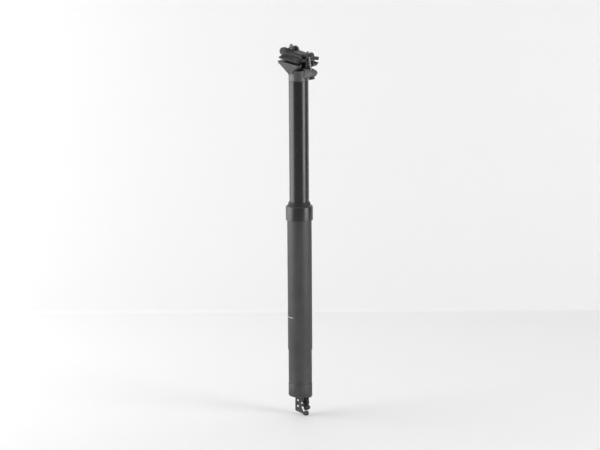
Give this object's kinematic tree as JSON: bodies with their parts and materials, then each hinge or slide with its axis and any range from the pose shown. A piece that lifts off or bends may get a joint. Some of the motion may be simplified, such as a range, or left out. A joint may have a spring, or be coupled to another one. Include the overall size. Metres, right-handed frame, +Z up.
{
  "type": "telescoping seatpost",
  "caption": "Cable-released telescoping bicycle seatpost with a gas spring, a sliding stanchion, a tilting two-bolt rail clamp and a release lever at its foot.",
  "frame": {"origin": "on the post's axis at the underside of the collar, where the post stops in the frame's seat tube", "axes": "+Z up the post towards the saddle, +X towards the front of the bicycle, +Y to the rider's left"},
  "size_m": [0.0565, 0.06, 0.5342],
  "materials": {
    "tube": "satin anodised",
    "collar": "gloss anodised",
    "stanchion": "gloss hard anodised",
    "forging": "matte blasted and anodised",
    "clamp_black": "matte blasted and anodised",
    "bolt_steel": "black oxide with bright wear",
    "screw_steel": "black oxide",
    "rod_steel": "ground",
    "cartridge": "turned",
    "bracket": "satin black coat",
    "lever_black": "satin anodised",
    "brass": "turned",
    "bushing": "moulded",
    "rubber": "moulded",
    "felt": "oiled foam"
  },
  "bodies": {
    "outer": {"lower_tube": "tube", "seal_collar": "collar", "wiper_seal": "rubber", "foam_ring": "felt", "upper_bush": "bushing", "end_cap": "tube", "cap_seal": "rubber", "cartridge_rod": "rod_steel", "rod_clip": "rod_steel", "piston": "cartridge", "piston_seal": "rubber", "bottom_bumper": "rubber", "actuator_bracket": "bracket", "bracket_screws": "screw_steel", "bracket_rivet": "screw_steel", "lever_pin": "rod_steel", "housing_stop": "lever_black"},
    "inner": {"stanchion": "stanchion", "head": "forging", "glide_ring": "bushing", "guide_keys": "brass", "topout_ring": "rubber", "cartridge_cylinder": "cartridge", "rod_gland": "cartridge", "gland_seal": "rubber", "gas_plug": "cartridge", "cartridge_nut": "rod_steel"},
    "gas_piston": {"floating_piston": "cartridge"},
    "valve_pin": {"release_pin": "rod_steel"},
    "lever": {"actuator_lever": "lever_black", "lever_spring": "rod_steel"},
    "clamp": {"lower_cradle": "clamp_black", "upper_clamp": "clamp_black"},
    "front_screw": {"front_bolt": "bolt_steel", "front_washer": "bolt_steel"},
    "rear_screw": {"rear_bolt": "bolt_steel", "rear_washer": "bolt_steel"},
    "front_nut": {"front_barrel_nut": "bolt_steel"},
    "rear_nut": {"rear_barrel_nut": "bolt_steel"}
  },
  "joints": [
    {"name": "post_drop", "type": "slide", "parent": "outer", "child": "inner", "axis": [0, 0, -1], "range_m": [0, 0.17], "stiffness_N_per_m": 300, "springref_m": -0.4},
    {"name": "gas_piston_travel", "type": "slide", "parent": "inner", "child": "gas_piston", "axis": [0, 0, 1], "range_m": [0, 0.0209]},
    {"name": "lever_press", "type": "hinge", "parent": "outer", "child": "lever", "pos_m": [0.0066, 0, -0.2656], "axis": [0, 1, 0], "range_deg": [0, 22], "stiffness_Nm_per_rad": 0.05, "springref_deg": -28.65},
    {"name": "valve_pin_slide", "type": "slide", "parent": "outer", "child": "valve_pin", "axis": [0, 0, 1], "range_m": [0, 0.00285]},
    {"name": "saddle_tilt", "type": "hinge", "parent": "inner", "child": "clamp", "pos_m": [0.00238, 0, 0.23917], "axis": [0, 1, 0], "range_deg": [-6, 8]},
    {"name": "front_screw_swing", "type": "hinge", "parent": "inner", "child": "front_screw", "pos_m": [0.02124, 0, 0.20492], "axis": [0, 1, 0], "range_deg": [-2.5, 2.5]},
    {"name": "rear_screw_swing", "type": "hinge", "parent": "inner", "child": "rear_screw", "pos_m": [-0.02307, 0, 0.22192], "axis": [0, 1, 0], "range_deg": [-2.5, 2.5]},
    {"name": "front_nut_turn", "type": "hinge", "parent": "clamp", "child": "front_nut", "pos_m": [0.01608, 0, 0.23417], "axis": [0, 1, 0], "range_deg": [-11, 9]},
    {"name": "rear_nut_turn", "type": "hinge", "parent": "clamp", "child": "rear_nut", "pos_m": [-0.01494, 0, 0.24019], "axis": [0, 1, 0], "range_deg": [-11, 9]}
  ],
  "couplings": [
    {"joint": "gas_piston_travel", "follows": "post_drop", "ratio": 0.1225},
    {"joint": "lever_press", "follows": "valve_pin_slide", "rad_per_m": 133.33},
    {"joint": "front_screw_swing", "follows": "saddle_tilt", "ratio": -0.2461},
    {"joint": "rear_screw_swing", "follows": "saddle_tilt", "ratio": -0.3055},
    {"joint": "front_nut_turn", "follows": "saddle_tilt", "ratio": -1.2461},
    {"joint": "rear_nut_turn", "follows": "saddle_tilt", "ratio": -1.3055}
  ]
}
